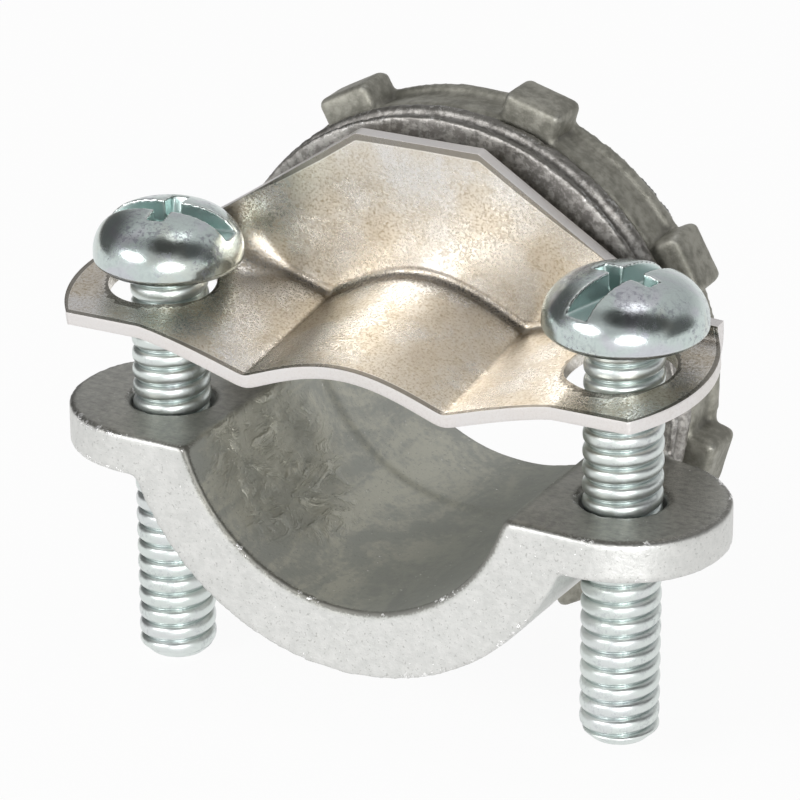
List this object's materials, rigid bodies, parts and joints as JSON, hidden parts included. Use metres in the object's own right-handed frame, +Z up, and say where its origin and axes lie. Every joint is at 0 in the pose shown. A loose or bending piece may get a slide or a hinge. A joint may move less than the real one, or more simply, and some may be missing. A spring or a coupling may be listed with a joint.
{
  "type": "two-screw cable connector",
  "caption": "Cast cable connector for a box knockout: open trough with ears, stamped clamp strap under machine screws, ribbed flange, threaded neck and a lugged locknut.",
  "frame": {"origin": "on the bore's axis, in the plane of the flange's seat, where the box wall would be", "axes": "+Y along the neck into the box, +Z up along the clamp screws towards their heads, +X from the left ear to the right ear"},
  "size_m": [0.0428, 0.0235, 0.0363],
  "materials": {
    "cast_zinc": "as-cast zinc alloy, dull grey with bright nicks",
    "strap_steel": "plated stamped steel, satin, warm silver",
    "left_screw_zinc": "bright zinc plating with a slight blue-green tint",
    "right_screw_zinc": "bright zinc plating with a slight blue-green tint",
    "locknut_zinc": "as-cast zinc alloy, matt brownish grey"
  },
  "bodies": {
    "casting": {"connector_body": "cast_zinc"},
    "strap": {"clamp_strap": "strap_steel"},
    "left_clamp_screw": {"left_screw": "left_screw_zinc"},
    "right_clamp_screw": {"right_screw": "right_screw_zinc"},
    "locknut": {"locknut": "locknut_zinc"}
  },
  "joints": [
    {"name": "strap_slide", "type": "slide", "parent": "casting", "child": "strap", "axis": [0, 0, 1], "range_m": [-0.005, 0.006]},
    {"name": "left_screw_spin", "type": "hinge", "parent": "strap", "child": "left_clamp_screw", "pos_m": [-0.0151, -0.0082, 0.0058], "axis": [0, 0, 1], "range_deg": [-1701, 2041]},
    {"name": "right_screw_spin", "type": "hinge", "parent": "strap", "child": "right_clamp_screw", "pos_m": [0.0151, -0.0082, 0.0074], "axis": [0, 0, 1], "range_deg": [-1701, 2041]},
    {"name": "locknut_spin", "type": "hinge", "parent": "casting", "child": "locknut", "pos_m": [0, 0.0019, 0], "axis": [0, 1, 0], "continuous": true}
  ],
  "couplings": [
    {"joint": "left_screw_spin", "follows": "strap_slide", "rad_per_m": 5936.9},
    {"joint": "right_screw_spin", "follows": "strap_slide", "rad_per_m": 5936.9}
  ]
}
